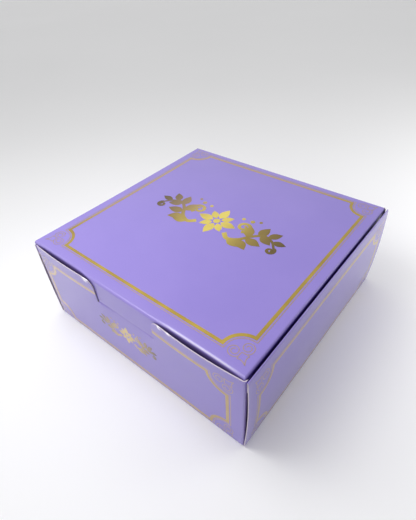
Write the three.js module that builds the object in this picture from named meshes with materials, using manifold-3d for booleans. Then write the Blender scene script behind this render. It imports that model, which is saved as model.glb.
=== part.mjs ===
// A shut folding carton for cakes: one piece of printed card, modelled solid because nothing inside it shows.
// It stands on z = 0 with its front towards -Y, and its origin is the middle of its base.
import * as THREE from "three";
import { mergeVertices } from "three/addons/utils/BufferGeometryUtils.js";
import Module from "manifold-3d";

const wasm = await Module();
wasm.setup();

// Driving dimensions, in millimetres
const SIDE = 200; // width and depth over the folded walls
const LID_TOP = 78; // height of the flat part of the lid
const CARD = 0.45; // thickness of the card
const HALF = SIDE / 2;

// Front and back walls: their ends turn round a crease, just inside the side walls
const WALL_HALF = 99;
const WALL_TOP = 77;
const WALL_CREASE = 1.8;
const BACK_LOWER = 0.7;

// Side walls: the card rises, tilts in at an outer crease and rolls over the rim
const OUTER_CREASE_Z = 74.6;
const OUTER_CREASE_TURN = 14;
const OUTER_CREASE_RADIUS = 1;
const SPINE_WIDTH = 1.9;
const RIM_RADIUS = 0.35;
const INNER_PANEL = 9;

// Lid: hinged at the back, a soft fold at the front, side flaps turned down inside the walls
const LID_LEFT = -100.2;
const LID_RIGHT = 98;
const FRONT_FOLD = 2;
const HINGE_FOLD = 1.5;
const SIDE_FOLD = 1.6;
const LEFT_LIP = 0.85;
const LEFT_FLAP_X = -98.3;
const FLAP_FACE_Y = -99.6;
const FLAP_BEHIND_WINGS = 1.2;
const FLAP_BOTTOM = 57.9;

// Closure: two slits free the middle of the front wall, and the wings beside it hold the lid's flap
const SLIT_LEFT = -30.1;
const SLIT_RIGHT = 26.5;
const SLIT_BOTTOM = 56.4;
const SLIT_WIDTH = 0.5;
const WING_CORNER = 8;

// How far the card springs out of true
const SIDE_BULGE = 1.4;
const SIDE_LEAN = 0.85;
const LEFT_WING_FLARE = 1.8;
const LEFT_WING_SPAN = [-102, -62, -10]; // start, peak and end across the front
const RIGHT_WING_FLARE = 2.35;
const RIGHT_WING_SPAN = [22, 64, 104];
const TONGUE_DIP = 0.75;
const TONGUE_DIP_REACH = 38;
const LID_RAISE = 2;

// How far the gaps between the panels reach in, and the crease round the base
const WING_GAP_FLOOR = 58;
const WING_GAP_BACK = 3;
const RIM_GAP_FLOOR = 69;
const RIM_GAP_END = 1.5;
const CORNER_GAP_DEPTH = 5;
const BOTTOM_CREASE = 0.8;
const BASE_LAP = 1;

// Subdivision of the panels that bend, and of the creases
const WALL_PARTS = 30;
const WALL_STEPS = 10;
const SIDE_PARTS = 10;
const SIDE_STEPS = 10;
const LID_PARTS = 20;
const CREASE_PARTS = 5;

const SLIT_MIDDLE = (SLIT_LEFT + SLIT_RIGHT) / 2;
const MARGIN = 3; // how far a cut runs past the card it goes through
const CLEAR = HALF + 2 * MARGIN;
const HAIR = 0.1;

// An arch that is 1 at the peak and comes down to 0 at both ends of a range
function arch(value, start, peak, end) {
  const reach = value < peak ? peak - start : end - peak;
  const away = Math.min(Math.abs(value - peak) / reach, 1);
  return Math.cos((away * Math.PI) / 2);
}

// The same, but levelling out at both ends
function hump(value, start, peak, end) {
  return arch(value, start, peak, end) ** 2;
}

// How far the front wall stands out from its plane: the wings flare at the top, the middle dips
function frontBow(x, z) {
  const left = LEFT_WING_FLARE * arch(x, ...LEFT_WING_SPAN);
  const right = RIGHT_WING_FLARE * arch(x, ...RIGHT_WING_SPAN);
  const reach = TONGUE_DIP_REACH;
  const dip = TONGUE_DIP * hump(x, SLIT_MIDDLE - reach, SLIT_MIDDLE, SLIT_MIDDLE + reach);
  const flare = Math.max(z, 0) / WALL_TOP;
  const lean = Math.min(Math.max(z, 0) / FLAP_BOTTOM, 1);
  return (left + right) * flare ** 3 - dip * lean ** 2;
}

// How far a side wall swells and leans outwards between its base and its outer crease
function sideBulge(z) {
  const up = THREE.MathUtils.clamp(z / OUTER_CREASE_Z, 0, 1);
  return SIDE_BULGE * Math.sin(Math.PI * up) + SIDE_LEAN * up;
}

// How far the lid springs up towards its free left corner
function lidRaise(x, y, z) {
  const across = THREE.MathUtils.clamp((LID_RIGHT - x) / (LID_RIGHT - LID_LEFT), 0, 1);
  const forward = THREE.MathUtils.clamp((HALF - y) / SIDE, 0, 1);
  const up = THREE.MathUtils.clamp((z - FLAP_BOTTOM) / (LID_TOP - FLAP_BOTTOM), 0, 1);
  return LID_RAISE * across ** 3 * forward ** 2 * up;
}

// How far a rounded fold has dropped away at a distance from its outermost edge
function foldDrop(distance, radius) {
  const left = Math.max(radius - distance, 0);
  return radius - Math.sqrt(Math.max(radius ** 2 - left ** 2, 0));
}

// Evenly spaced values from one end to the other
function range(from, to, parts) {
  return Array.from({ length: parts + 1 }, (_, i) => from + ((to - from) * i) / parts);
}

// Values between two rounded folds, closer together round each fold
function foldedRange(from, to, fromRadius, toRadius, parts) {
  const angles = range(0, Math.PI / 2, CREASE_PARTS);
  const start = angles.map((angle) => from + fromRadius * (1 - Math.cos(angle)));
  const end = angles.map((angle) => to - toRadius * (1 - Math.cos(angle))).reverse();
  return [...start, ...range(from + fromRadius, to - toRadius, parts).slice(1, -1), ...end];
}

// A closed box on three lists of coordinates, each vertex moved to the place that a function gives
function gridBox(xs, ys, zs, place = (x, y, z) => [x, y, z]) {
  const axes = [xs, ys, zs];
  const box = new THREE.BoxGeometry(1, 1, 1, ...axes.map((axis) => axis.length - 1));
  const position = box.attributes.position;
  for (let i = 0; i < position.count; i++) {
    const steps = [position.getX(i), position.getY(i), position.getZ(i)];
    const at = steps.map((step, k) => axes[k][Math.round((step + 0.5) * (axes[k].length - 1))]);
    position.setXYZ(i, ...place(...at));
  }
  return box;
}

// Follows the card round its folds: each move is a straight run or a crease, cut into equal parts
function foldPath(startX, startY, headingDegrees, moves) {
  const points = [new THREE.Vector2(startX, startY)];
  let heading = THREE.MathUtils.degToRad(headingDegrees);
  for (const { run = 0, radius = 0, turn = 0, parts = 1 } of moves) {
    const step = THREE.MathUtils.degToRad(turn) / parts;
    const chord = turn ? 2 * radius * Math.sin(Math.abs(step) / 2) : run / parts;
    for (let i = 0; i < parts; i++) {
      heading += step / 2;
      const along = new THREE.Vector2(Math.cos(heading), Math.sin(heading));
      points.push(points.at(-1).clone().addScaledVector(along, chord));
      heading += step / 2;
    }
  }
  return points;
}

// The inner face of card whose outer face follows the path, one thickness to the left of it
function innerFace(path) {
  return path.map((point, i) => {
    const before = path[Math.max(i - 1, 0)];
    const after = path[Math.min(i + 1, path.length - 1)];
    const along = after.clone().sub(before).normalize();
    return new THREE.Vector2(point.x - along.y * CARD, point.y + along.x * CARD);
  });
}

// A prism over a closed section in the XY plane, from z = low to z = high
function prism(section, low, high, steps = 1) {
  const options = { depth: high - low, steps, bevelEnabled: false };
  return new THREE.ExtrudeGeometry(new THREE.Shape(section), options).translate(0, 0, low);
}

// A prism over a section in the XZ plane, from y = low to y = high
function prismAlongY(section, low, high, steps = 1) {
  return prism(section, -high, -low, steps).rotateX(Math.PI / 2);
}

// A prism over a section in the YZ plane, from x = low to x = high
function prismAlongX(section, low, high, steps = 1) {
  return prism(section, low, high, steps).rotateX(Math.PI / 2).rotateZ(Math.PI / 2);
}

// Turns a closed geometry into a solid, its places kept to a thousandth so that equal faces meet
function solid(geometry) {
  geometry.deleteAttribute("normal");
  geometry.deleteAttribute("uv");
  const places = geometry.attributes.position.array;
  places.forEach((value, i) => (places[i] = Math.round(value * 1000) / 1000));
  const merged = mergeVertices(geometry, 1e-4);
  const mesh = new wasm.Mesh({
    numProp: 3,
    vertProperties: merged.attributes.position.array,
    triVerts: new Uint32Array(merged.index.array),
  });
  return new wasm.Manifold(mesh);
}

function geometryOf(manifold) {
  const mesh = manifold.getMesh();
  const geometry = new THREE.BufferGeometry();
  geometry.setAttribute("position", new THREE.BufferAttribute(mesh.vertProperties, 3));
  geometry.setIndex(new THREE.BufferAttribute(mesh.triVerts, 1));
  geometry.computeVertexNormals();
  return geometry;
}

// The walls' block under the lid: bowed front, rounded upright creases, a slightly lower back
function wallBlock() {
  const xs = foldedRange(-WALL_HALF, WALL_HALF, WALL_CREASE, WALL_CREASE, WALL_PARTS);
  const heights = range(0, WALL_TOP, WALL_STEPS);
  return gridBox(xs, [-HALF, HALF], heights, (x, y, z) => {
    const drop = foldDrop(WALL_HALF - Math.abs(x), WALL_CREASE);
    const lower = (BACK_LOWER * z * (y + HALF)) / (WALL_TOP * SIDE);
    const bow = y < 0 ? frontBow(x, z) : 0;
    return [x, Math.sign(y) * (HALF - drop) - bow, z - lower];
  });
}

// The gap between the wings and the flap, one thickness of card behind the front face
function wingGap() {
  const xs = range(2 * CARD - WALL_HALF, WALL_HALF - 2 * CARD, WALL_PARTS);
  const heights = range(WING_GAP_FLOOR, WALL_TOP + MARGIN, CREASE_PARTS);
  const bowed = (x, y, z) => [x, y < CARD + HAIR - HALF ? y - frontBow(x, z) : y, z];
  return gridBox(xs, [CARD - HALF, WING_GAP_BACK - HALF], heights, bowed);
}

// The gap between the lid's edge and the rim of a side wall
function rimGap(low, high) {
  return gridBox([low, high], [RIM_GAP_END - HALF, HALF - RIM_GAP_END], [RIM_GAP_FLOOR, LID_TOP + MARGIN]);
}

// The opening that the slits leave between the wings, with the wings' rounded upper corners
function closureOpening() {
  const [floor, above] = [FLAP_BOTTOM + CARD, WALL_TOP + MARGIN];
  const cornerZ = WALL_TOP - WING_CORNER;
  const opening = new THREE.Shape();
  opening.moveTo(SLIT_LEFT, floor);
  opening.lineTo(SLIT_LEFT, cornerZ);
  opening.absarc(SLIT_LEFT - WING_CORNER, cornerZ, WING_CORNER, 0, Math.PI / 2, false);
  opening.lineTo(SLIT_LEFT - WING_CORNER, above);
  opening.lineTo(SLIT_RIGHT + WING_CORNER, above);
  opening.lineTo(SLIT_RIGHT + WING_CORNER, WALL_TOP);
  opening.absarc(SLIT_RIGHT + WING_CORNER, cornerZ, WING_CORNER, Math.PI / 2, Math.PI, false);
  opening.lineTo(SLIT_RIGHT, floor);
  return prismAlongY(opening.getPoints(2 * CREASE_PARTS), -HALF - MARGIN, WING_GAP_BACK - HALF - 1);
}

// The end of a slit, which runs a little further down than the edge of the flap
function slitEnd(left) {
  const depths = [-HALF - MARGIN, WING_GAP_BACK - HALF];
  return gridBox([left, left + SLIT_WIDTH], depths, [SLIT_BOTTOM, WING_GAP_FLOOR + 2]);
}

// A side wall on the right: up from the base, in at the outer crease, over the rim and down inside
function sideWall() {
  const climb = [
    { run: BASE_LAP },
    { radius: BOTTOM_CREASE, turn: 90, parts: CREASE_PARTS },
    { run: OUTER_CREASE_Z - BOTTOM_CREASE, parts: SIDE_PARTS },
    { radius: OUTER_CREASE_RADIUS, turn: OUTER_CREASE_TURN, parts: 3 },
    { run: SPINE_WIDTH },
    { radius: RIM_RADIUS, turn: 180 - OUTER_CREASE_TURN, parts: CREASE_PARTS + 1 },
    { run: INNER_PANEL },
  ];
  const outer = foldPath(HALF - BOTTOM_CREASE - BASE_LAP, 0, 0, climb);
  const foot = outer.at(-1).y;
  const climbing = outer.slice(0, SIDE_PARTS + CREASE_PARTS + 2);
  const sheet = innerFace(climbing).filter((point) => point.y < foot);
  sheet.push(new THREE.Vector2(HALF - CARD, foot));
  const wall = prismAlongY([...outer, ...sheet.reverse()], -HALF, HALF, SIDE_STEPS);
  return bulged(wall);
}

// Swells the parts of the side walls outwards
function bulged(geometry) {
  const position = geometry.attributes.position;
  for (let i = 0; i < position.count; i++) {
    const x = position.getX(i);
    position.setX(i, x + Math.sign(x) * sideBulge(position.getZ(i)));
  }
  return geometry;
}

// What closes the space between the walls' block and the side walls, short of the corners
function sideFilling() {
  const [reach, end] = [HALF - CARD / 2, HALF - CORNER_GAP_DEPTH];
  const heights = range(BOTTOM_CREASE / 3, RIM_GAP_FLOOR, SIDE_PARTS);
  return bulged(gridBox([-reach, 0, reach], range(-end, end, SIDE_STEPS), heights));
}

// How far the lid's front fold and flap lie back where the wings cover them
function tuckedBack(x) {
  const reach = SLIT_RIGHT - SLIT_MIDDLE + WING_CORNER;
  const covered = 1 - hump(x, SLIT_MIDDLE - reach, SLIT_MIDDLE, SLIT_MIDDLE + reach);
  return FLAP_BEHIND_WINGS * covered ** 2 * Math.max(1 - (x / HALF) ** 12, 0);
}

// The lid with its folds and the flap at its front
function lidBlock() {
  const xs = foldedRange(LID_LEFT, LID_RIGHT, LEFT_LIP, SIDE_FOLD, LID_PARTS);
  const ys = foldedRange(FLAP_FACE_Y, HALF, FRONT_FOLD, HINGE_FOLD, LID_PARTS);
  return gridBox(xs, ys, [FLAP_BOTTOM, LID_TOP], (x, y, z) => {
    const folds = [
      foldDrop(x - LID_LEFT, LEFT_LIP),
      foldDrop(LID_RIGHT - x, SIDE_FOLD),
      foldDrop(y - FLAP_FACE_Y, FRONT_FOLD),
      foldDrop(HALF - y, HINGE_FOLD),
    ];
    const top = z - (z === LID_TOP ? Math.max(...folds) : 0);
    const back = y < FLAP_FACE_Y + 2 * FRONT_FOLD ? tuckedBack(x) : 0;
    return [x, y + back, top + lidRaise(x, y, z)];
  });
}

// The space below the lip on the lid's left edge, outside the flap that goes down inside the wall
function lipUndercut() {
  const under = LID_TOP - LEFT_LIP + CARD / 3;
  const depths = range(-CLEAR, CLEAR, LID_PARTS);
  const place = (x, y, z) => [x, y, z + lidRaise(LID_LEFT, y, z)];
  return gridBox([-CLEAR, LEFT_FLAP_X], depths, [FLAP_BOTTOM - MARGIN, under], place);
}

// A tall envelope whose two bottom edges are rounded like the creases round the base
function creasedEnvelope() {
  const edge = HALF + CARD / 10;
  const crease = { radius: BOTTOM_CREASE, turn: 90, parts: CREASE_PARTS };
  const base = { run: 2 * (edge - BOTTOM_CREASE) };
  const section = foldPath(-edge, BOTTOM_CREASE, -90, [crease, base, crease]);
  section.push(new THREE.Vector2(CLEAR, 2 * BOTTOM_CREASE));
  section.push(new THREE.Vector2(CLEAR, CLEAR));
  section.push(new THREE.Vector2(-CLEAR, CLEAR));
  section.push(new THREE.Vector2(-CLEAR, 2 * BOTTOM_CREASE));
  return prismAlongX(section, -CLEAR, CLEAR);
}

function cartonSolid() {
  const walls = solid(wallBlock())
    .subtract(solid(wingGap()))
    .subtract(solid(rimGap(LID_RIGHT - 1, WALL_HALF + 1)))
    .subtract(solid(rimGap(-WALL_HALF - 1, LEFT_FLAP_X + 1)))
    .subtract(solid(closureOpening()))
    .subtract(solid(slitEnd(SLIT_LEFT - CARD / 4)))
    .subtract(solid(slitEnd(SLIT_RIGHT + CARD / 4 - SLIT_WIDTH)));
  const lid = solid(lidBlock()).subtract(solid(lipUndercut()));
  return walls
    .add(solid(sideWall()))
    .add(solid(sideWall().rotateZ(Math.PI)))
    .add(solid(sideFilling()))
    .add(lid)
    .intersect(solid(creasedEnvelope()));
}

const printedCard = new THREE.MeshStandardMaterial({ color: 0xa697df, roughness: 0.45, metalness: 0 });

const carton = new THREE.Mesh(geometryOf(cartonSolid()), printedCard);
carton.name = "carton";

const foodBox = new THREE.Group();
foodBox.add(carton);

export default foodBox;
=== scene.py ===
"""A shut folding carton for cakes, of lavender card with gold foil ornament.

The card is one sheet, cut and folded as the real one is. All lengths are in millimetres until a mesh
is made.
"""

import math
import random

import bmesh
import bpy
import numpy as np
from mathutils import Matrix, Vector
from mathutils.geometry import tessellate_polygon


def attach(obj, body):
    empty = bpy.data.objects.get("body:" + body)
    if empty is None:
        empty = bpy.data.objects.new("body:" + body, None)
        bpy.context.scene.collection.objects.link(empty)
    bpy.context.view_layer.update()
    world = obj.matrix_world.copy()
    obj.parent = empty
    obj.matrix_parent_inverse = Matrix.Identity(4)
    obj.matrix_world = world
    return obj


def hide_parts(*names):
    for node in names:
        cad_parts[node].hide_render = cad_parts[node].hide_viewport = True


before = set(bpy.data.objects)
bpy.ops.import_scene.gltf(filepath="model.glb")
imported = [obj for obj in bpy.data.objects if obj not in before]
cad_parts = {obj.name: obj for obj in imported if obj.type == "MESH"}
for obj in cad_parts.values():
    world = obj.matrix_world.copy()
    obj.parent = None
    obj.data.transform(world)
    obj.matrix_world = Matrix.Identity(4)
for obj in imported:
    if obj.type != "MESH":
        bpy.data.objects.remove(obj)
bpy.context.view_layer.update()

MM = 0.001

# The carton's size and its folds, as in the solid
SIDE = 200
HALF = SIDE / 2
LID_TOP = 78
CARD = 0.45
EDGE_CARD = 0.68
WALL_HALF = 99
WALL_FLAT = 97.2
WALL_TOP = 77
WALL_CREASE = 1.8
BOTTOM_CREASE = 0.8
BASE_HALF = HALF - BOTTOM_CREASE
OUTER_CREASE_Z = 74.6
OUTER_CREASE_TURN = 14
SPINE_WIDTH = 1.9
RIM_RADIUS = 0.35
RIM_CARD = 0.28
INNER_PANEL = 9
LID_LEFT = -100.2
LID_RIGHT = 98
FRONT_FOLD = 2
HINGE_FOLD = 1.5
SIDE_FOLD = 1.6
LEFT_HEM = 0.425
HEM_CARD = 0.3
LEFT_FLAP_X = -98.3
SIDE_FLAP_DOWN = 8
SIDE_FLAP_SPAN = (-96, 94)
FLAP_FACE_Y = -99.6
FLAP_BEHIND_WINGS = 0.9
TUCK_REACH = 10
FLAP_BOTTOM = 57.9
SLIT_LEFT = -30.1
SLIT_RIGHT = 26.5
SLIT_MIDDLE = (SLIT_LEFT + SLIT_RIGHT) / 2
SLIT_BOTTOM = 56.4
SLIT_WIDTH = 0.4
WING_CORNER = 8
TONGUE_TOP = 66
TONGUE_GAP = 0.12

# The front and back walls' ends, which turn back inside the side walls
RETURN_STEPS = 5
RETURN_STEP = 1.7
RETURN_SLANT = 0.25
RETURN_TOP = 75.4
RETURN_BOTTOM = 3

# How far the card springs out of true
SIDE_BULGE = 1.4
SIDE_LEAN = 0.85
LEFT_WING_FLARE = 1.8
LEFT_WING_SPAN = (-102, -62, -10)
RIGHT_WING_FLARE = 2.35
RIGHT_WING_SPAN = (22, 64, 104)
TONGUE_DIP = 0.75
TONGUE_DIP_REACH = 38
LID_RAISE = 2

# Places on the wings' top edges where the print is torn off: x, z and reach
NICKS = ((-37.4, 76.3, 2.1), (35.2, 76.2, 1.5), (42.4, 77.0, 1.2))
NICK_DEPTH = 0.5

# The part of the lid's front fold that gets a painted highlight: across the box, and round the fold
HIGHLIGHT_SPAN = (30, 99)
HIGHLIGHT_FADE = 16
HIGHLIGHT_ANGLES = (12, 37, 64)

# How far below the lid's top the tucked flap is painted fully in gap shade
GAP_DARK_AT = 9


def arch(value, start, peak, end):
    """1 at the peak, coming down to 0 at both ends of a range."""
    reach = np.where(value < peak, peak - start, end - peak)
    away = np.minimum(np.abs(value - peak) / reach, 1)
    return np.cos(away * math.pi / 2)


def hump(value, start, peak, end):
    """The same, but levelling out at both ends."""
    return arch(value, start, peak, end) ** 2


def smooth(value):
    """0 below 0, 1 above 1, and an even curve between them."""
    t = np.clip(value, 0, 1)
    return t * t * (3 - 2 * t)


def front_bow(x, z):
    """How far the front wall stands out from its plane: the wings flare, the middle dips."""
    left = LEFT_WING_FLARE * arch(x, *LEFT_WING_SPAN)
    right = RIGHT_WING_FLARE * arch(x, *RIGHT_WING_SPAN)
    reach = TONGUE_DIP_REACH
    dip = TONGUE_DIP * hump(x, SLIT_MIDDLE - reach, SLIT_MIDDLE, SLIT_MIDDLE + reach)
    flare = np.maximum(z, 0) / WALL_TOP
    lean = np.clip(z / FLAP_BOTTOM, 0, 1)
    return (left + right) * flare**3 - dip * lean**2


def side_bulge(z):
    """How far a side wall swells and leans outwards between its base and its outer crease."""
    up = np.clip(z / OUTER_CREASE_Z, 0, 1)
    return SIDE_BULGE * np.sin(math.pi * up) + SIDE_LEAN * up


def lid_raise(x, y, z):
    """How far the lid springs up towards its free left corner."""
    across = np.clip((LID_RIGHT - x) / (LID_RIGHT - LID_LEFT), 0, 1)
    forward = np.clip((HALF - y) / SIDE, 0, 1)
    up = np.clip((z - FLAP_BOTTOM) / (LID_TOP - FLAP_BOTTOM), 0, 1)
    return LID_RAISE * across**3 * forward**2 * up


def tucked_back(x):
    """How far the lid's front fold and flap lie back where the wings cover them."""
    past_slit = np.abs(x - SLIT_MIDDLE) - (SLIT_RIGHT - SLIT_MIDDLE)
    covered = smooth(past_slit / (2 * WING_CORNER))
    return FLAP_BEHIND_WINGS * covered * np.maximum(1 - (x / HALF) ** 12, 0)


def fold_path(start, heading, moves):
    """Points along card that runs straight or turns: each move is (run, radius, turn, parts)."""
    points = [np.array(start, float)]
    heading = math.radians(heading)
    for run, radius, turn, parts in moves:
        step = math.radians(turn) / parts
        chord = 2 * radius * math.sin(abs(step) / 2) if turn else run / parts
        for _ in range(parts):
            heading += step / 2
            along = np.array([math.cos(heading), math.sin(heading)])
            points.append(points[-1] + chord * along)
            heading += step / 2
    return np.array(points)


# The net of the card is a grid: columns run across the box and rows run round it from front to back
CREASE_STEPS = 5
FOLD_STEPS = 8
CLIMB_STEPS = 18
TURN_STEPS = 3
SPINE_STEPS = 2
RIM_STEPS = 7
INNER_STEPS = 4

quarter = np.linspace(0, math.pi / 2, CREASE_STEPS + 1)


def wing_corner():
    """The x and top z of the columns round a wing's rounded corner, from its flat top to its slit."""
    angle = np.linspace(0, math.pi / 2, FOLD_STEPS + 1)
    return WING_CORNER * np.sin(angle), WALL_TOP - WING_CORNER * (1 - np.cos(angle))


def wall_columns():
    """x, the drop round the end creases, and the height of the top edge, for the walls' columns."""
    end_x = WALL_HALF - WALL_CREASE * (1 - np.cos(quarter[:-1]))
    end_drop = WALL_CREASE * (1 - np.sin(quarter[:-1]))
    corner_x, corner_top = wing_corner()
    left_x = SLIT_LEFT - WING_CORNER + corner_x
    right_x = (SLIT_RIGHT + WING_CORNER - corner_x)[::-1]
    left = np.linspace(-WALL_FLAT, left_x[0], 22)[:-1]
    tongue = np.linspace(SLIT_LEFT + SLIT_WIDTH, SLIT_RIGHT - SLIT_WIDTH, 20)
    right = np.linspace(right_x[-1], WALL_FLAT, 23)[1:]
    x = np.concatenate([-end_x, left, left_x, tongue, right_x, right, end_x[::-1]])
    drop = np.concatenate([end_drop, np.zeros(len(x) - 2 * len(end_x)), end_drop[::-1]])
    top = np.concatenate(
        [
            np.full(len(end_x) + len(left), WALL_TOP),
            corner_top,
            np.full(len(tongue), TONGUE_TOP),
            corner_top[::-1],
            np.full(len(right) + len(end_x), WALL_TOP),
        ]
    )
    for nick_x, _, reach in NICKS:
        top = top - NICK_DEPTH * hump(x, nick_x - reach, nick_x, nick_x + reach)
    first = len(end_x) + len(left) + len(left_x)
    return x, drop, top, (first, first + len(tongue))


wall_x, wall_drop, wall_top, tongue_span = wall_columns()
MAIN = len(wall_x)
ENDS = CREASE_STEPS

base_x = np.interp(wall_x, [-WALL_HALF, WALL_HALF], [-BASE_HALF, BASE_HALF])
lid_main_left = LID_LEFT + LEFT_HEM
lid_main_right = LID_RIGHT - SIDE_FOLD
inner_share = (wall_x + WALL_FLAT) / (2 * WALL_FLAT)
lid_x = LEFT_FLAP_X + inner_share * (lid_main_right - SIDE_FOLD - LEFT_FLAP_X)
lid_x[: ENDS + 1] = np.linspace(lid_main_left, LEFT_FLAP_X, ENDS + 1)
lid_x[-ENDS - 1 :] = np.linspace(lid_main_right - SIDE_FOLD, lid_main_right, ENDS + 1)

# Side walls: from the base up, in at the outer crease, over the rim and down inside
side_path = fold_path(
    (BASE_HALF, 0),
    0,
    [
        (0, BOTTOM_CREASE, 90, CREASE_STEPS),
        (OUTER_CREASE_Z - BOTTOM_CREASE, 0, 0, CLIMB_STEPS),
        (0, 1, OUTER_CREASE_TURN, TURN_STEPS),
        (SPINE_WIDTH, 0, 0, SPINE_STEPS),
        (0, RIM_RADIUS, 180 - OUTER_CREASE_TURN, RIM_STEPS),
        (INNER_PANEL, 0, 0, INNER_STEPS),
    ],
)[1:]
SIDES = len(side_path)
crease_at = CREASE_STEPS + CLIMB_STEPS
side_card = np.interp(
    np.arange(SIDES),
    [0, crease_at, crease_at + TURN_STEPS, SIDES - INNER_STEPS, SIDES - 1],
    [CARD, CARD, 0.3, RIM_CARD, 0.4],
)

# The lid's right edge folds down into the box, and its left edge is a hem over the rim
right_angles = np.linspace(0, math.pi / 2, FOLD_STEPS + 1)[1:]
hem_angles = np.linspace(0, math.pi, 2 * FOLD_STEPS + 1)[1:]

ROWS = (
    [("wing", t) for t in np.linspace(1, 0, 15)]
    + [("front", z) for z in np.linspace(SLIT_BOTTOM, BOTTOM_CREASE, 22)[1:]]
    + [("front crease", a) for a in quarter[::-1][1:-1]]
    + [("base", y) for y in np.linspace(-1, 1, 37)]
    + [("back crease", a) for a in quarter[1:]]
    + [("back", z) for z in np.linspace(BOTTOM_CREASE, LID_TOP - HINGE_FOLD, 18)[1:]]
    + [("hinge", a) for a in right_angles]
    + [("lid", y) for y in np.linspace(HALF - HINGE_FOLD, FLAP_FACE_Y + FRONT_FOLD, 46)[1:]]
    + [("fold", a) for a in right_angles]
    + [("flap", z) for z in np.linspace(LID_TOP - FRONT_FOLD, FLAP_BOTTOM, 10)[1:]]
)
COLUMNS = SIDES + MAIN + SIDES
UNSET = np.nan


def lid_point(x, y, drop_x, drop_y):
    """A point of the lid's outer face, its folds rounded off by the larger of two drops."""
    z = LID_TOP - np.maximum(drop_x, drop_y)
    tucked = y + tucked_back(x) * smooth(1 - (y - FLAP_FACE_Y - FRONT_FOLD) / TUCK_REACH)
    return np.stack([x, tucked, z + lid_raise(x, tucked, z)], -1)


def main_points(section, value):
    """The outer face of one row, over the columns between the side walls."""
    zero = np.zeros(MAIN)
    if section == "wing":
        z = SLIT_BOTTOM + value * (wall_top - SLIT_BOTTOM)
        y = -HALF + wall_drop - front_bow(wall_x, z)
        first, last = tongue_span
        behind = FLAP_FACE_Y + tucked_back(wall_x) + CARD + TONGUE_GAP
        push = smooth((z - SLIT_BOTTOM) / (FLAP_BOTTOM - SLIT_BOTTOM))
        y[first:last] = (y + (behind - y) * push)[first:last]
        return np.stack([wall_x, y, z], -1)
    if section == "front":
        return np.stack([wall_x, -HALF + wall_drop - front_bow(wall_x, value), zero + value], -1)
    if section in ("front crease", "back crease"):
        share = math.sin(value)
        x = base_x + (wall_x - base_x) * share
        y = BASE_HALF + BOTTOM_CREASE * math.sin(value) - wall_drop * share
        z = zero + BOTTOM_CREASE * (1 - math.cos(value))
        return np.stack([x, -y if section == "front crease" else y, z], -1)
    if section == "base":
        return np.stack([base_x, zero + BASE_HALF * value, zero], -1)
    if section == "back":
        return np.stack([wall_x, HALF - wall_drop, zero + value], -1)
    if section == "hinge":
        share = smooth(value / (math.pi / 2))
        x = wall_x + (lid_x - wall_x) * share
        y = HALF - HINGE_FOLD * (1 - math.cos(value)) - wall_drop * (1 - share)
        return lid_point(x, y, zero, zero + HINGE_FOLD * (1 - math.sin(value)))
    if section == "lid":
        return lid_point(lid_x, zero + value, zero, zero)
    if section == "fold":
        y = zero + FLAP_FACE_Y + FRONT_FOLD * (1 - math.sin(value))
        return lid_point(lid_x, y, zero, zero + FRONT_FOLD * (1 - math.cos(value)))
    z = zero + value
    y = FLAP_FACE_Y + tucked_back(lid_x)
    return np.stack([lid_x, y, z + lid_raise(lid_x, y, z)], -1)


def return_flap(front, z, sign):
    """The ends of the front and back walls, which turn back just inside a side wall."""
    points = np.full((SIDES, 3), UNSET)
    along = np.arange(1, RETURN_STEPS + 1)
    y = -HALF + WALL_CREASE + RETURN_STEP * along
    points[:RETURN_STEPS, 0] = sign * (WALL_HALF - RETURN_SLANT * along)
    points[:RETURN_STEPS, 1] = y if front else -y
    points[:RETURN_STEPS, 2] = z
    return points


def side_points(section, value, sign):
    """The outer face of one row, over the columns beyond the base or the lid on one side."""
    if section == "base":
        z = side_path[:, 1]
        y = np.interp(z, [0, BOTTOM_CREASE], [BASE_HALF * value, HALF * value])
        x = sign * (side_path[:, 0] + side_bulge(z))
        return np.stack([x, y, z], -1)
    if section == "wing":
        return return_flap(True, SLIT_BOTTOM + value * (RETURN_TOP - SLIT_BOTTOM), sign)
    if section == "front":
        return return_flap(True, value, sign)
    if section == "back":
        return return_flap(False, min(value, RETURN_TOP), sign)
    points = np.full((SIDES, 3), UNSET)
    if section in ("hinge", "lid", "fold", "flap"):
        turned = section in ("hinge", "fold", "flap")
        away, round_fold = 1 - math.cos(value), 1 - math.sin(value)
        y, drop = {
            "hinge": (HALF - HINGE_FOLD * away, HINGE_FOLD * round_fold),
            "lid": (value, 0),
            "fold": (FLAP_FACE_Y + FRONT_FOLD * round_fold, FRONT_FOLD * away),
            "flap": (FLAP_FACE_Y, FRONT_FOLD),
        }[section]
        angles = right_angles if sign > 0 else hem_angles[:FOLD_STEPS] if turned else hem_angles
        radius = SIDE_FOLD if sign > 0 else LEFT_HEM
        edge = lid_main_right if sign > 0 else lid_main_left
        x = edge + sign * radius * np.sin(angles)
        even = np.ones(len(x))
        folded = lid_point(x, even * y, radius * (1 - np.cos(angles)), even * drop)
        if section == "flap":
            folded[:, 2] = value + lid_raise(x, folded[:, 1], even * value)
        points[: len(x)] = folded
        if not turned:
            down_x, down_z = DOWN[sign].T
            even = np.ones(len(down_x))
            hanging = lid_point(down_x, even * y, LID_TOP - down_z, 0 * even)
            points[len(x) : len(x) + len(hanging)] = hanging
    return points


# From the hem's lower face round into the side flap: across and down
HEM_TURN = ((-1, 0), (-0.5, 0.01), (-0.2, 0.06), (-0.04, 0.2), (0, 0.5), (0, 3))


def side_flap_line(sign):
    """The x and z of the lid's side flap, from its fold or hem down into the box."""
    low = LID_TOP - SIDE_FLAP_DOWN
    if sign > 0:
        return np.array([(LID_RIGHT, z) for z in np.linspace(LID_TOP - SIDE_FOLD, low, 4)[1:]])
    hem_low = LID_TOP - 2 * LEFT_HEM
    turned = [(LEFT_FLAP_X + across, hem_low - down) for across, down in HEM_TURN]
    return np.array(turned + [(LEFT_FLAP_X, low)])


DOWN = {sign: side_flap_line(sign) for sign in (1, -1)}


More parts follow.
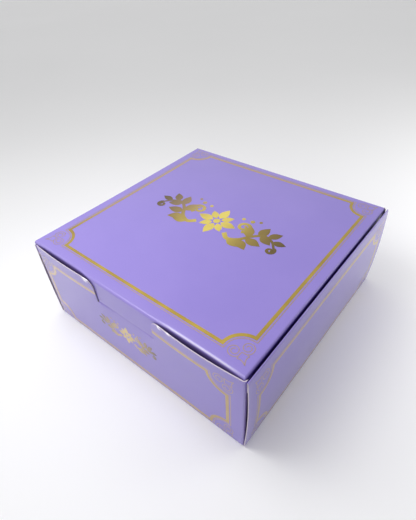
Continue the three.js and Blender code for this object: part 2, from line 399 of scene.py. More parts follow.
def net_points():
    """The net's outer face, the card's thickness, and how much painted shade each place gets for lying
    deep in a gap.
    """
    points = np.full((COLUMNS, len(ROWS), 3), UNSET)
    card = np.full((COLUMNS, len(ROWS)), CARD)
    painted_gap_shade = np.zeros((COLUMNS, len(ROWS)))
    under_wings = smooth((np.abs(lid_x - SLIT_MIDDLE) - (SLIT_RIGHT - SLIT_MIDDLE)) / WING_CORNER)
    past_fold = np.minimum(np.arange(1, SIDES + 1) / FOLD_STEPS, 1) ** 2
    for j, (section, value) in enumerate(ROWS):
        points[:SIDES, j] = side_points(section, value, -1)[::-1]
        points[SIDES : SIDES + MAIN, j] = main_points(section, value)
        points[SIDES + MAIN :, j] = side_points(section, value, 1)
        # Painted gap shade: dark on the return flaps, on the flap where the wings cover it and on the
        # lid's right side flap
        if section in ("wing", "front", "back"):
            painted_gap_shade[:SIDES, j] = painted_gap_shade[SIDES + MAIN :, j] = 1
        if section in ("fold", "flap"):
            depth = math.sin(value) ** 8 / 4 if section == "fold" else (LID_TOP - value) / GAP_DARK_AT
            painted_gap_shade[SIDES : SIDES + MAIN, j] = under_wings * min(depth, 1)
        if section in ("hinge", "lid", "fold", "flap"):
            painted_gap_shade[SIDES + MAIN :, j] = past_fold
        if section == "wing":
            card[SIDES : SIDES + MAIN, j] = CARD + (EDGE_CARD - CARD) * value**2
        if section == "base":
            at_end = (side_path[:, 1] < OUTER_CREASE_Z) & (abs(value) == 1)
            wall_card = side_card * np.where(at_end, EDGE_CARD / CARD, 1)
            card[:SIDES, j] = wall_card[::-1]
            card[SIDES + MAIN :, j] = wall_card
        if section in ("hinge", "lid", "fold"):
            card[:SIDES, j] = HEM_CARD
    return points, card, painted_gap_shade


def present_cells(points):
    """Which cells of the grid are card: the rest is cut away from the net."""
    known = ~np.isnan(points[..., 0])
    cells = known[:-1, :-1] & known[1:, :-1] & known[:-1, 1:] & known[1:, 1:]
    names = [section for section, _ in ROWS]
    values = [value for _, value in ROWS]
    side = np.ones(COLUMNS - 1, bool)
    side[SIDES : SIDES + MAIN - 1] = False
    first, last = (SIDES + index for index in tongue_span)
    flap_start = SIDES + ENDS
    for j in range(len(ROWS) - 1):
        pair = (names[j], names[j + 1])
        if pair == ("wing", "wing"):
            cells[first - 1, j] = False
            cells[last - 1, j] = False
        mixed = pair[0] != pair[1] and not set(pair) <= {"hinge", "lid", "fold", "flap"}
        if mixed and pair != ("wing", "front"):
            cells[side, j] = False
        if pair == ("front", "front") and values[j + 1] < RETURN_BOTTOM:
            cells[side, j] = False
        if pair == ("back", "back") and (values[j] < RETURN_BOTTOM or values[j + 1] > RETURN_TOP):
            cells[side, j] = False
        if "flap" in pair:
            cells[:flap_start, j] = False
        middle = (values[j] + values[j + 1]) / 2
        if pair == ("lid", "lid") and not SIDE_FLAP_SPAN[0] < middle < SIDE_FLAP_SPAN[1]:
            cells[: SIDES - FOLD_STEPS, j] = False
            cells[SIDES + MAIN - 1 + FOLD_STEPS :, j] = False
    return cells


# The sheet's material slots
PRINTED, CUT, INNER = range(3)


def sheet_mesh(name, points, card, cells):
    """A closed sheet with an outer face, an inner face and cut edges, and each vertex's grid place."""
    across, along = points.shape[:2]
    index = np.arange(across * along).reshape(across, along)
    i, j = np.nonzero(cells)
    outer = np.stack([index[i, j], index[i, j + 1], index[i + 1, j + 1], index[i + 1, j]], -1)
    flat = np.nan_to_num(points.reshape(-1, 3))
    normals = np.zeros_like(flat)
    diagonal = np.cross(flat[outer[:, 2]] - flat[outer[:, 0]], flat[outer[:, 3]] - flat[outer[:, 1]])
    for corner in range(4):
        np.add.at(normals, outer[:, corner], diagonal)
    length = np.linalg.norm(normals, axis=1, keepdims=True)
    normals = normals / np.where(length > 0, length, 1)
    inner_points = np.clip(flat - normals * card.reshape(-1, 1), flat.min(0), flat.max(0))

    count = len(flat)
    padded = np.zeros((across + 1, along + 1), bool)
    padded[1:-1, 1:-1] = cells[: across - 1, : along - 1]
    strips = []
    for a, b, (di, dj) in ((0, 1, (-1, 0)), (1, 2, (0, 1)), (2, 3, (1, 0)), (3, 0, (0, -1))):
        open_side = ~padded[i + 1 + di, j + 1 + dj]
        start, end = outer[open_side, a], outer[open_side, b]
        strips.append(np.stack([end, start, start + count, end + count], -1))
    strips = np.concatenate(strips)
    faces = np.concatenate([outer, outer[:, ::-1] + count, strips])
    slots = np.repeat((PRINTED, INNER, CUT), (len(outer), len(outer), len(strips)))
    vertices = np.concatenate([flat, inner_points])
    used, compact = np.unique(faces, return_inverse=True)
    mesh = bpy.data.meshes.new(name)
    mesh.from_pydata((vertices[used] * MM).tolist(), [], compact.reshape(-1, 4).tolist())
    mesh.polygons.foreach_set("material_index", slots.astype(np.int32))
    mesh.update()
    return mesh, used % count


def shown(name, mesh, materials, sharp=40):
    """An object of a mesh, smooth but for its edges, riding on the carton's one body."""
    mesh.polygons.foreach_set("use_smooth", [True] * len(mesh.polygons))
    mesh.set_sharp_from_angle(angle=math.radians(sharp))
    for material in materials:
        mesh.materials.append(material)
    piece = bpy.data.objects.new(name, mesh)
    bpy.context.scene.collection.objects.link(piece)
    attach(piece, "root")
    return piece


# Colours of the ink, the board and the foil, with painted gap shade, a painted fold highlight and painted
# reflections in the foil
LAVENDER = (0.268, 0.204, 0.6)
LAVENDER_DEEP = (0.25, 0.19, 0.58)
LAVENDER_RUBBED = (0.42, 0.35, 0.7)
GAP_SHADE = (0.045, 0.022, 0.18)
# Painted highlight along the right half of the lid's front fold
FOLD_HIGHLIGHT_TINT = (0.68, 0.64, 0.85)
TORN_WHITE = (0.95, 0.9, 0.95)
BOARD_DEEP = (0.48, 0.41, 0.5)
BOARD_PALE = (0.64, 0.57, 0.66)
# The card's unprinted back, darkened as painted shade for the gaps
INNER_SHADE_DEEP = (0.36, 0.3, 0.34)
INNER_SHADE_PALE = (0.44, 0.37, 0.41)
GOLD_DEEP = (0.43, 0.29, 0.04)
GOLD_PALE = (0.54, 0.38, 0.06)
# Painted reflection: rosier foil towards the lid's back left and the walls' left ends
GOLD_ROSE_REFLECTION = (0.52, 0.35, 0.2)
GOLD_THIN = (0.44, 0.31, 0.27)
# Painted reflection on the emblem: darker towards its ends, a painted highlight in its middle
GOLD_DARK_REFLECTION = (0.12, 0.075, 0.015)
GOLD_HIGHLIGHT = (1.0, 0.82, 0.16)
FLOOR_DEEP = (0.93, 0.93, 0.94)
FLOOR_PALE = (0.95, 0.95, 0.96)


def new_material(name):
    material = bpy.data.materials.new(name)
    material.use_nodes = True
    nodes = material.node_tree.nodes
    return material, nodes, material.node_tree.links, nodes["Principled BSDF"]


def noise_node(nodes, links, scale, detail, roughness=0.5):
    """Noise in the object's own space, as a value from 0 to 1."""
    place = nodes.new("ShaderNodeTexCoord")
    noise = nodes.new("ShaderNodeTexNoise")
    noise.inputs["Scale"].default_value = scale
    noise.inputs["Detail"].default_value = detail
    noise.inputs["Roughness"].default_value = roughness
    links.new(place.outputs["Object"], noise.inputs["Vector"])
    return noise.outputs["Fac"]


def ramp_node(nodes, links, value, stops):
    """A colour ramp over (position, colour) stops."""
    ramp = nodes.new("ShaderNodeValToRGB")
    elements = ramp.color_ramp.elements
    while len(elements) < len(stops):
        elements.new(0.5)
    for element, (position, colour) in zip(elements, stops):
        element.position = position
        element.color = (*colour, 1)
    links.new(value, ramp.inputs["Fac"])
    return ramp.outputs["Color"]


def mix_node(nodes, links, factor, first, second, blend="MIX"):
    """Two colours mixed by a value or a socket."""
    mix = nodes.new("ShaderNodeMix")
    mix.data_type = "RGBA"
    mix.blend_type = blend
    for socket, source in ((mix.inputs[0], factor), (mix.inputs[6], first), (mix.inputs[7], second)):
        if isinstance(source, (int, float)):
            socket.default_value = source
        elif isinstance(source, tuple):
            socket.default_value = (*source, 1)
        else:
            links.new(source, socket)
    return mix.outputs[2]


def span_node(nodes, links, value, low, high):
    """A value from 0 to 1 spread over a range."""
    span = nodes.new("ShaderNodeMapRange")
    span.inputs["To Min"].default_value = low
    span.inputs["To Max"].default_value = high
    links.new(value, span.inputs["Value"])
    return span.outputs["Result"]


def bump_node(nodes, links, height, distance, strength, shader):
    """Fine relief."""
    bump = nodes.new("ShaderNodeBump")
    bump.inputs["Distance"].default_value = distance
    bump.inputs["Strength"].default_value = strength
    links.new(height, bump.inputs["Height"])
    links.new(bump.outputs["Normal"], shader.inputs["Normal"])


def attribute_node(nodes, name):
    """A value that the mesh's points carry."""
    attribute = nodes.new("ShaderNodeAttribute")
    attribute.attribute_name = name
    return attribute.outputs["Fac"]


def printed_material():
    """Card printed all over in lavender, under a satin varnish with a very fine grain."""
    material, nodes, links, shader = new_material("printed_card")
    mottle = noise_node(nodes, links, 22, 3)
    grain = noise_node(nodes, links, 1500, 2, 0.6)
    broad = ramp_node(nodes, links, mottle, [(0.3, LAVENDER_DEEP), (0.7, LAVENDER)])
    fine = ramp_node(nodes, links, grain, [(0.25, (0.95, 0.95, 0.96)), (0.75, (1.0, 1.0, 1.0))])
    colour = mix_node(nodes, links, 1.0, broad, fine, "MULTIPLY")
    # Wear and torn print are the card's own marks; the fold highlight and the gap shade are painted light
    # and shade
    towards = {"wear": LAVENDER_RUBBED, "painted_fold_highlight": FOLD_HIGHLIGHT_TINT, "painted_gap_shade": GAP_SHADE, "torn": TORN_WHITE}
    for name, tone in towards.items():
        colour = mix_node(nodes, links, attribute_node(nodes, name), colour, tone)
    links.new(colour, shader.inputs["Base Color"])
    links.new(span_node(nodes, links, grain, 0.36, 0.52), shader.inputs["Roughness"])
    shader.inputs["Specular IOR Level"].default_value = 0.25
    shader.inputs["Coat Weight"].default_value = 0.82
    shader.inputs["Coat Roughness"].default_value = 0.16
    bump_node(nodes, links, grain, 0.00004, 0.35, shader)
    return material


def board_material():
    """The card's bare white core: short fibres and a matt surface."""
    material, nodes, links, shader = new_material("raw_board")
    fibre = noise_node(nodes, links, 2600, 3, 0.7)
    colour = ramp_node(nodes, links, fibre, [(0.3, BOARD_DEEP), (0.7, BOARD_PALE)])
    # Cut edges deep in the gaps are darkened as painted shade; torn print is the card's own mark
    for name, tone in {"torn": TORN_WHITE, "painted_gap_shade": GAP_SHADE}.items():
        colour = mix_node(nodes, links, attribute_node(nodes, name), colour, tone)
    links.new(colour, shader.inputs["Base Color"])
    links.new(span_node(nodes, links, fibre, 0.75, 0.9), shader.inputs["Roughness"])
    bump_node(nodes, links, fibre, 0.00006, 0.5, shader)
    return material


def inner_material():
    """The card's unprinted back, which only shows deep in the gaps: board coloured dark grey as painted
    shade for the gaps.
    """
    material, nodes, links, shader = new_material("inner_board_painted_shade")
    fibre = noise_node(nodes, links, 1200, 3, 0.7)
    colour = ramp_node(nodes, links, fibre, [(0.3, INNER_SHADE_DEEP), (0.7, INNER_SHADE_PALE)])
    links.new(colour, shader.inputs["Base Color"])
    shader.inputs["Roughness"].default_value = 0.85
    bump_node(nodes, links, fibre, 0.00004, 0.5, shader)
    return material


def foil_material():
    """Hot-stamped gold foil: bright metal that lies in the card's fine grain. Its colour carries painted
    reflections: rosier towards the back left, and darker and brighter along the emblem.
    """
    material, nodes, links, shader = new_material("gold_foil")
    grain = noise_node(nodes, links, 900, 2, 0.6)
    patch = noise_node(nodes, links, 60, 2)
    colour = ramp_node(nodes, links, patch, [(0.35, GOLD_DEEP), (0.65, GOLD_PALE)])
    towards = {"rose_reflection": GOLD_ROSE_REFLECTION, "thin": GOLD_THIN, "dark": GOLD_DARK_REFLECTION, "bright": GOLD_HIGHLIGHT}
    for name, tone in towards.items():
        colour = mix_node(nodes, links, attribute_node(nodes, name), colour, tone)
    links.new(colour, shader.inputs["Base Color"])
    shader.inputs["Metallic"].default_value = 1.0
    shader.inputs["Coat Weight"].default_value = 0.9
    shader.inputs["Coat Roughness"].default_value = 0.16
    links.new(span_node(nodes, links, grain, 0.24, 0.4), shader.inputs["Roughness"])
    bump_node(nodes, links, grain, 0.00003, 0.3, shader)
    return material


printed_card = printed_material()
raw_board = board_material()
inner_board_painted_shade = inner_material()
gold_foil = foil_material()


EDGE_WEAR = 0.3
FOLD_WEAR = 0.2
WORN_BEND = math.radians(25)


def wear_of(mesh):
    """How rubbed the print is: a little along the folds and cut edges, nothing elsewhere."""
    bm = bmesh.new()
    bm.from_mesh(mesh)
    values = []
    for vertex in bm.verts:
        edges = [edge for edge in vertex.link_edges if len(edge.link_faces) == 2]
        mixed = any(len({face.material_index for face in edge.link_faces}) == 2 for edge in edges)
        bend = max((edge.calc_face_angle(0) for edge in edges), default=0)
        values.append(EDGE_WEAR if mixed else min(bend / WORN_BEND, 1) * FOLD_WEAR)
    bm.free()
    return values


def fold_highlight_at(points):
    """1 along the front fold's right half, where a pale highlight is painted onto the print, 0 elsewhere.
    """
    x, y, z = np.nan_to_num(points).T
    fold_start = FLAP_FACE_Y + tucked_back(x) + FRONT_FOLD
    back = np.degrees(np.arcsin(np.clip((fold_start - y) / FRONT_FOLD, 0, 1)))
    across = smooth((x - HIGHLIGHT_SPAN[0]) / HIGHLIGHT_FADE) * smooth((HIGHLIGHT_SPAN[1] - x) / HIGHLIGHT_FADE)
    return np.where(z > LID_TOP - FRONT_FOLD, hump(back, *HIGHLIGHT_ANGLES), 0) * across


def torn_at(points):
    """1 where the print is torn off the wings' top edges, 0 elsewhere."""
    x, y, z = np.nan_to_num(points).T
    torn = np.zeros(len(points))
    for nick_x, nick_z, reach in NICKS:
        away = np.hypot(x - nick_x, z - nick_z) / reach
        torn = np.maximum(torn, np.where(y < -HALF, smooth((1.5 - away) * 2), 0))
    return torn


def make_carton():
    """The folded sheet in place of the solid, with its wear, torn print, painted gap shade and painted
    fold highlight as values on its points.
    """
    points, card, painted_gap_shade = net_points()
    mesh, places = sheet_mesh("carton_card", points, card, present_cells(points))
    values = {
        "wear": wear_of(mesh),
        "painted_gap_shade": painted_gap_shade.ravel()[places],
        "painted_fold_highlight": fold_highlight_at(points.reshape(-1, 3)[places]),
        "torn": torn_at(points.reshape(-1, 3)[places]),
    }
    for name, value in values.items():
        mesh.attributes.new(name, "FLOAT", "POINT").data.foreach_set("value", value)
    piece = shown("carton_card", mesh, [printed_card, raw_board, inner_board_painted_shade])
    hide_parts("carton")


make_carton()

# Gold foil: every face of the box has its own coordinates, and a function that bends foil onto it.
# Foil stands out by FOIL_PROUD, and the emblem's pieces each by one LAYER more than the last.
FOIL_PROUD = 0.045
FOIL_SUNK = 0.03
LAYER = 0.0005


def on_lid(u, v, lift):
    z = np.full_like(u, LID_TOP)
    return np.stack([u, v, z + lid_raise(u, v, z) + lift], -1)


def on_front(u, v, lift):
    return np.stack([u, -HALF - front_bow(u, v) - lift, v], -1)


def on_back(u, v, lift):
    return np.stack([-u, np.full_like(u, HALF) + lift, v], -1)


def on_right(u, v, lift):
    return np.stack([HALF + side_bulge(v) + lift, u, v], -1)


def on_left(u, v, lift):
    return np.stack([-HALF - side_bulge(v) - lift, -u, v], -1)


def lid_reflection_tint(u, v):
    """A painted reflection: the foil runs rosier and paler towards the lid's back left."""
    return smooth((v - u - 15) / 45)


def wall_reflection_tint(u, v):
    """A painted reflection: the foil runs rosier and paler towards a wall's left end."""
    return 1 - 0.7 * smooth((u + HALF) / SIDE)


def plain_shade(u):
    """No painted reflection: neither dark nor bright."""
    return 0, 0


class Foil:
    """Gathers the closed pieces of foil on one face of the box."""

    def __init__(self, place, reflection_tint):
        self.place = place
        self.reflection_tint = reflection_tint
        self.points = []
        self.faces = []
        self.tones = {"thin": [], "dark": [], "bright": [], "rose_reflection": []}
        self.is_thin = self.layer = 0
        self.shade = plain_shade

    def add(self, outline_u, outline_v, cap_faces, rim):
        """A flat piece of foil: its upper face, its lower face and the rim round them."""
        start = sum(len(part) for part in self.points)
        count = len(outline_u)
        rose_reflection = self.reflection_tint(outline_u, outline_v)
        dark, bright = self.shade(outline_u)
        for name, value in (("thin", self.is_thin), ("dark", dark), ("bright", bright), ("rose_reflection", rose_reflection)):
            self.tones[name].append(np.tile(np.broadcast_to(value, count), 2))
        self.points.append(self.place(outline_u, outline_v, FOIL_PROUD + self.layer))
        self.points.append(self.place(outline_u, outline_v, -FOIL_SUNK))
        for face in cap_faces:
            self.faces.append([start + k for k in face])
            self.faces.append([start + count + k for k in reversed(face)])
        for a, b in rim:
            self.faces.append([start + b, start + a, start + count + a, start + count + b])

    def band(self, line, width, closed=False):
        """A stripe of foil along a line; its width may change along it."""
        width = np.broadcast_to(width, len(line))
        left, right = offset(line, width / 2, closed), offset(line, -width / 2, closed)
        count = len(line)
        both = np.concatenate([left, right])
        steps = range(count if closed else count - 1)
        caps = [[k, count + k, count + (k + 1) % count, (k + 1) % count] for k in steps]
        rim = [((k + 1) % count, k) for k in steps] + [(count + k, count + (k + 1) % count) for k in steps]
        if not closed:
            rim += [(0, count), (2 * count - 1, count - 1)]
        self.add(both[:, 0], both[:, 1], caps, rim)

    def blot(self, outline):
        """A filled shape of foil; its outline runs counter-clockwise."""
        corners = [Vector((u, v, 0)) for u, v in outline]
        caps = [list(face) for face in tessellate_polygon([corners])]
        caps = [face if turn(outline[face]) > 0 else face[::-1] for face in caps]
        count = len(outline)
        self.add(outline[:, 0], outline[:, 1], caps, [(k, (k + 1) % count) for k in range(count)])

    def piece(self, name):
        """One object of all the foil gathered."""
        mesh = bpy.data.meshes.new(name)
        mesh.from_pydata((np.concatenate(self.points) * MM).tolist(), [], self.faces)
        bm = bmesh.new()
        bm.from_mesh(mesh)
        bmesh.ops.recalc_face_normals(bm, faces=bm.faces)
        bm.to_mesh(mesh)
        bm.free()
        for tone, values in self.tones.items():
            mesh.attributes.new(tone, "FLOAT", "POINT").data.foreach_set("value", np.concatenate(values))
        shown(name, mesh, [gold_foil], 30)


def turn(triangle):
    """Twice the signed area of a triangle."""
    a, b, c = triangle
    return (b[0] - a[0]) * (c[1] - a[1]) - (b[1] - a[1]) * (c[0] - a[0])


def offset(line, distance, closed):
    """A line moved to its left by a distance, with its corners mitred."""
    distance = np.broadcast_to(distance, len(line))
    ahead = np.roll(line, -1, 0) - line
    behind = line - np.roll(line, 1, 0)
    if not closed:
        ahead[-1], behind[0] = behind[-1], ahead[0]
    ahead = ahead / np.linalg.norm(ahead, axis=1, keepdims=True)
    behind = behind / np.linalg.norm(behind, axis=1, keepdims=True)
    side_ahead = np.stack([-ahead[:, 1], ahead[:, 0]], -1)
    side_behind = np.stack([-behind[:, 1], behind[:, 0]], -1)
    middle = side_ahead + side_behind
    middle = middle / np.linalg.norm(middle, axis=1, keepdims=True)
    stretch = 1 / np.clip((middle * side_ahead).sum(1), 0.35, 1)
    return line + middle * (distance * stretch)[:, None]


def sampled(line, step, closed=False):
    """The same line with points no further apart than a step."""
    ends = np.roll(line, -1, 0) if closed else line[1:]
    out = []
    for a, b in zip(line, ends):
        parts = max(1, math.ceil(np.linalg.norm(b - a) / step))
        out += [a + (b - a) * k / parts for k in range(parts)]
    if not closed:
        out.append(line[-1])
    return np.array(out)


# The frame: a broad line and a fine one outside it, with inverted round corners
BROAD_LINE = 2.5
FINE_LINE = 0.7
LINE_GAP = 2.4
CORNER_RADIUS = 14
LINE_STEP = 3
SLIT_LAP = 0.15
SCROLL_LINE = 0.6
SCROLL_FLOOR = 1.2

# A corner's scroll, with u along the diagonal outwards and v across it
CURL_CENTRE = (-3.7, 4.1)
CURL_RADII = (4.4, 1.2)
CURL_START = math.radians(-15)
CURL_TURNS = 1.7
SCROLL_SHOULDER = ((-1.6, 0), (0.2, 2.1), (2.0, 3.6))
SCROLL_TAIL = ((2.0, 3.6), (3.0, 2.0), (4.8, 0.75), (7.3, 0))


def frame_line(low, high):
    """The frame's closed line, counter-clockwise, with an inward arc at each corner."""
    corners = [(high[0], low[1]), high, (low[0], high[1]), low]
    points = []
    for k, (u, v) in enumerate(corners):
        angles = math.pi * (1 + k / 2) - np.linspace(0, math.pi / 2, 13)
        points += [(u + CORNER_RADIUS * math.cos(a), v + CORNER_RADIUS * math.sin(a)) for a in angles]
    return sampled(np.array(points), LINE_STEP, closed=True)


def stretches(line, kept):
    """The stretches of a line whose points are kept, each as an open line."""
    edges = np.flatnonzero(np.diff(np.concatenate([[False], kept, [False]]).astype(int)))
    return [line[a:b] for a, b in zip(edges[::2], edges[1::2]) if b - a > 2]


def beside_slits(line):
    """The front's frame line, cut where the plain flap shows between the slits."""
    u, v = line[:, 0], line[:, 1]
    kept = ~((u > SLIT_LEFT) & (u < SLIT_RIGHT) & (v > SLIT_BOTTOM))
    first = int(np.argmin(kept))
    parts = stretches(np.roll(line, -first, 0), np.roll(kept, -first))
    for part in parts:
        for end in (0, -1):
            left = part[end, 0] < SLIT_MIDDLE
            part[end, 0] = SLIT_LEFT - SLIT_LAP if left else SLIT_RIGHT + SLIT_LAP
    return parts


def spiral(centre, radii, start, turns, points=40):
    """A line that curls in round a centre."""
    share = np.linspace(0, 1, points)
    radius = radii[0] + (radii[1] - radii[0]) * share
    angle = start + turns * 2 * math.pi * share
    return np.array(centre) + np.stack([radius * np.cos(angle), radius * np.sin(angle)], -1)


def scroll_lines():
    """The lines of a corner's scroll: the same on both sides of the diagonal."""
    curl = spiral(CURL_CENTRE, CURL_RADII, CURL_START, CURL_TURNS)
    parts = (curl, smooth_line(np.array(SCROLL_SHOULDER)), smooth_line(np.array(SCROLL_TAIL)))
    return [part * (1, side) for side in (1, -1) for part in parts]


def smooth_line(points, parts=6):
    """A curve through a few points."""
    ends = np.concatenate([[2 * points[0] - points[1]], points, [2 * points[-1] - points[-2]]])
    out = []
    for a, b, c, d in zip(ends, ends[1:], ends[2:], ends[3:]):
        square = 2 * a - 5 * b + 4 * c - d
        cube = 3 * b - a - 3 * c + d
        out += [(2 * b + (c - a) * t + square * t**2 + cube * t**3) / 2 for t in np.arange(parts) / parts]
    out.append(points[-1])
    return np.array(out)


def add_frame(foil, low, high, cut=None):
    """The double frame and its four corner scrolls."""
    middle = frame_line(low, high)
    outside = offset(middle, -LINE_GAP, True)
    for line, width in ((middle, BROAD_LINE), (outside, FINE_LINE)):
        foil.is_thin = int(width == FINE_LINE)
        if cut is None:
            foil.band(line, width, closed=True)
        else:
            for part in cut(line):
                foil.band(part, width)
    for u, v, side_u, side_v in (
        (high[0], high[1], 1, 1),
        (low[0], high[1], -1, 1),
        (high[0], low[1], 1, -1),
        (low[0], low[1], -1, -1),
    ):
        for line in scroll_lines():
            along = (line[:, 0] - line[:, 1]) / math.sqrt(2)
            across = (line[:, 0] + line[:, 1]) / math.sqrt(2)
            moved = np.stack([u + side_u * along, v + side_v * across], -1)
            clear = moved[:, 1] > SCROLL_FLOOR if v > 0 else np.full(len(moved), True)
            for part in stretches(moved, clear):
                foil.band(part, SCROLL_LINE)
    foil.is_thin = 0


# The ornament in the middle of the lid and of the front: a rosette between two leafy sprigs
EMBLEM_REACH = 58
LEAF_FULLNESS = 1.25
LINE_FULLNESS = 1.25
LINE_TAPER = 0.55
PETALS = 8
PETAL_START = 3.8
LONG_PETAL = (18, 6.2)
SHORT_PETAL = (14.5, 5.0)
ROSETTE_DISC = 2.9

# A sprig's vine, its leaves as base, direction, length and width, and its berries
VINE = ((14, -9), (20, -13.5), (28, -9.5), (34, -1), (42, 5), (50, 2.5), (55.5, -4))
LEAVES = (
    ((20, -13.6), -14, 14, 6.4),
    ((28, -9.8), -36, 13, 6.2),
    ((31.5, -5.5), -8, 14.5, 6.6),
    ((32, -3.5), 112, 15, 6.8),
    ((38, 2.6), 78, 13.5, 6.4),
    ((39.5, 3.6), -26, 13, 6.0),
    ((45, 5), 48, 12, 5.6),
    ((50.5, 2.3), 6, 11, 4.8),
)
BERRIES = (((24.5, 15.4), 1.9), ((30.5, 18.2), 1.4), ((16.5, 14.6), 1.6))
VINE_WIDTH = 3.2
CURL_WIDTH = 2.9
TIP_WIDTH = 2.6


def leaf(base, direction, length, width):
    """A pointed leaf as a closed outline."""
    t = np.linspace(0, 1, 9)
    half = LEAF_FULLNESS * width / 2 * np.sin(math.pi * t**0.85)
    along = np.concatenate([t, t[-2:0:-1]]) * length
    across = np.concatenate([-half, half[-2:0:-1]])
    c, s = math.cos(direction), math.sin(direction)
    return np.stack([base[0] + c * along - s * across, base[1] + s * along + c * across], -1)


def disc(centre, radius):
    """A round spot as a closed outline."""
    angle = np.linspace(0, 2 * math.pi, 20, endpoint=False)
    return np.stack([centre[0] + radius * np.cos(angle), centre[1] + radius * np.sin(angle)], -1)


rng = random.Random(7)


def emblem_painted_sheen(middle, reach, shine):
    """How dark and how bright the emblem's foil is along it: a painted reflection, darker towards its
    ends, with a painted highlight in its middle.
    """
    chance = rng.random()

    def shade(u):
        away = np.abs(u - middle) / reach
        dark = np.minimum(0.9 * away**1.8 + 0.1 * chance, 1)
        return dark, shine * smooth(1 - 1.6 * away) * (0.75 + 0.25 * chance)

    return shade


def add_emblem(foil, centre, scale, shine):
    """Rosette, sprigs, curls and dots, about 118 by 36 units across."""
    blots, bands = [], []
    for k in range(PETALS):
        angle = k * 2 * math.pi / PETALS
        reach, width = SHORT_PETAL if k % 2 else LONG_PETAL
        start = (PETAL_START * math.cos(angle), PETAL_START * math.sin(angle))
        blots.append(leaf(start, angle, reach - PETAL_START, width))
    blots.append(disc((0, 0), ROSETTE_DISC))
    vine = smooth_line(np.array(VINE), 8)
    curl = spiral((22.5, 5.5), (6.2, 1.2), math.radians(-75), 1.5)
    tip = spiral((54.2, -7.2), (3.5, 0.8), math.radians(70), -1.35, 30)
    sprig = [leaf(base, math.radians(degrees), length, width) for base, degrees, length, width in LEAVES]
    sprig += [disc(middle, radius) for middle, radius in BERRIES]
    for flip in ((1, 1), (-1, 1)):
        blots += [shape * flip for shape in sprig]
        bands += [(vine * flip, VINE_WIDTH), (curl * flip, CURL_WIDTH), (tip * flip, TIP_WIDTH)]
    for shape in blots:
        foil.shade = emblem_painted_sheen(centre[0], EMBLEM_REACH * scale, shine)
        foil.layer += LAYER
        placed = shape * scale + centre
        signed = sum(turn((placed[0], a, b)) for a, b in zip(placed[1:], placed[2:]))
        foil.blot(placed if signed > 0 else placed[::-1])
    for line, width in bands:
        foil.shade = emblem_painted_sheen(centre[0], EMBLEM_REACH * scale, shine)
        foil.layer += LAYER
        taper = 1 - LINE_TAPER * np.linspace(0, 1, len(line))
        foil.band(line * scale + centre, LINE_FULLNESS * width * scale * taper)


lid_foil = Foil(on_lid, lid_reflection_tint)
add_frame(lid_foil, (-90.3, -87.2), (87.8, 91.3))
add_emblem(lid_foil, (-2.5, 6), 1.0, 1.0)
lid_foil.piece("foil_lid")

front_foil = Foil(on_front, wall_reflection_tint)
add_frame(front_foil, (-93.7, 4.0), (86.5, 65.2), beside_slits)
add_emblem(front_foil, (-4.5, 36.5), 0.5, 0.4)
front_foil.piece("foil_front")

back_foil = Foil(on_back, wall_reflection_tint)
add_frame(back_foil, (-90, 4.0), (90, 65.2))
back_foil.piece("foil_back")

right_foil = Foil(on_right, wall_reflection_tint)
add_frame(right_foil, (-88.4, 4.0), (90.3, 65.2))
right_foil.piece("foil_right")

left_foil = Foil(on_left, wall_reflection_tint)
add_frame(left_foil, (-89.4, 4.0), (89.4, 65.2))
left_foil.piece("foil_left")


# Floor, light and camera
ROOM_LEFT = (0.97, 0.97, 0.97)
ROOM_MIDDLE = (0.7, 0.7, 0.7)
ROOM_RIGHT = (0.18, 0.18, 0.18)
FLOOR_SIZE = 6
FLOOR_Z = -0.0002
BOX_MIDDLE = (0, 0, 0.05)
KEY_PLACE = (-0.09, -0.12, 0.34)
KEY_SIZE = (0.2, 0.2)
KEY_POWER = 0.6
FRONT_PLACE = (-0.45, -0.3, 0.28)
FRONT_SIZE = (0.25, 0.25)
FRONT_POWER = 0.26
BACK_PLACE = (0.4, 0.34, 0.24)
BACK_SIZE = (0.3, 0.3)
BACK_POWER = 1.1


def make_floor():
    """A plain pale floor, just below the box."""
    bpy.ops.mesh.primitive_plane_add(size=FLOOR_SIZE, location=(0, 0, FLOOR_Z))
    floor = bpy.context.object
    floor.name = "floor"
    material, nodes, links, shader = new_material("floor")
    shade = noise_node(nodes, links, 3, 2)
    colour = ramp_node(nodes, links, shade, [(0.3, FLOOR_DEEP), (0.7, FLOOR_PALE)])
    links.new(colour, shader.inputs["Base Color"])
    shader.inputs["Roughness"].default_value = 0.7
    floor.data.materials.append(material)


def area_light(name, place, target, size, power):
    """A white rectangular lamp that points at a target."""
    light = bpy.data.lights.new(name, "AREA")
    light.shape = "RECTANGLE"
    light.size, light.size_y = size
    light.energy = power
    lamp = bpy.data.objects.new(name, light)
    lamp.location = place
    lamp.rotation_euler = (Vector(target) - Vector(place)).to_track_quat("-Z", "Y").to_euler()
    bpy.context.scene.collection.objects.link(lamp)


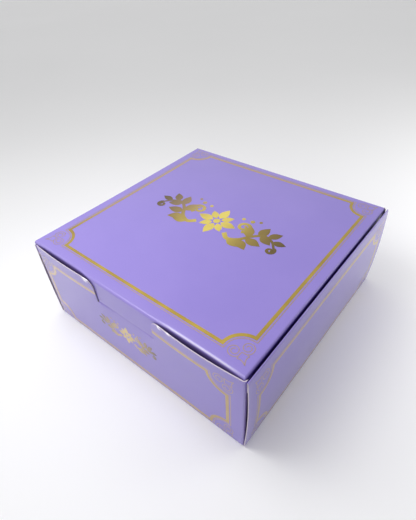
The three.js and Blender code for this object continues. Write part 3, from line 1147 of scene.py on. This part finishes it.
def make_light():
    """A bright room that is dimmer on the right, and soft lamps over, before and behind the box."""
    world = bpy.data.worlds.new("studio")
    bpy.context.scene.world = world
    world.use_nodes = True
    nodes, links = world.node_tree.nodes, world.node_tree.links
    place = nodes.new("ShaderNodeTexCoord")
    axes = nodes.new("ShaderNodeSeparateXYZ")
    links.new(place.outputs["Generated"], axes.inputs["Vector"])
    share = nodes.new("ShaderNodeMapRange")
    share.inputs["From Min"].default_value = -1
    links.new(axes.outputs["X"], share.inputs["Value"])
    stops = [(0.0, ROOM_LEFT), (0.5, ROOM_MIDDLE), (1.0, ROOM_RIGHT)]
    links.new(ramp_node(nodes, links, share.outputs["Result"], stops), nodes["Background"].inputs["Color"])
    area_light("key", KEY_PLACE, BOX_MIDDLE, KEY_SIZE, KEY_POWER)
    area_light("front", FRONT_PLACE, BOX_MIDDLE, FRONT_SIZE, FRONT_POWER)
    area_light("back", BACK_PLACE, (*BACK_PLACE[:2], 0), BACK_SIZE, BACK_POWER)
    bpy.context.scene.view_settings.view_transform = "Standard"


# The camera's place, the angles that it looks along and its lens, found from the box's corners
CAMERA_PLACE = (0.16013, -0.19681, 0.26266)
CAMERA_RIGHT = (0.77209, 0.63350, -0.05055)
CAMERA_FORWARD = (-0.49846, 0.55433, -0.66653)
IMAGE_LONG_SIDE = 520
FOCAL_PIXELS = 392.81
SHIFT = (0.01242, 0.01139)


def make_camera():
    """The camera in the photo's place, without depth of field."""
    camera_data = bpy.data.cameras.new("camera")
    camera_data.sensor_width = 36
    camera_data.lens = FOCAL_PIXELS * camera_data.sensor_width / IMAGE_LONG_SIDE
    camera_data.shift_x, camera_data.shift_y = SHIFT
    camera = bpy.data.objects.new("camera", camera_data)
    right, forward = Vector(CAMERA_RIGHT), Vector(CAMERA_FORWARD)
    up = right.cross(forward)
    turned = Matrix((right, up, -forward)).transposed().to_4x4()
    camera.matrix_world = Matrix.Translation(CAMERA_PLACE) @ turned
    bpy.context.scene.collection.objects.link(camera)
    bpy.context.scene.camera = camera


make_floor()
make_light()
make_camera()
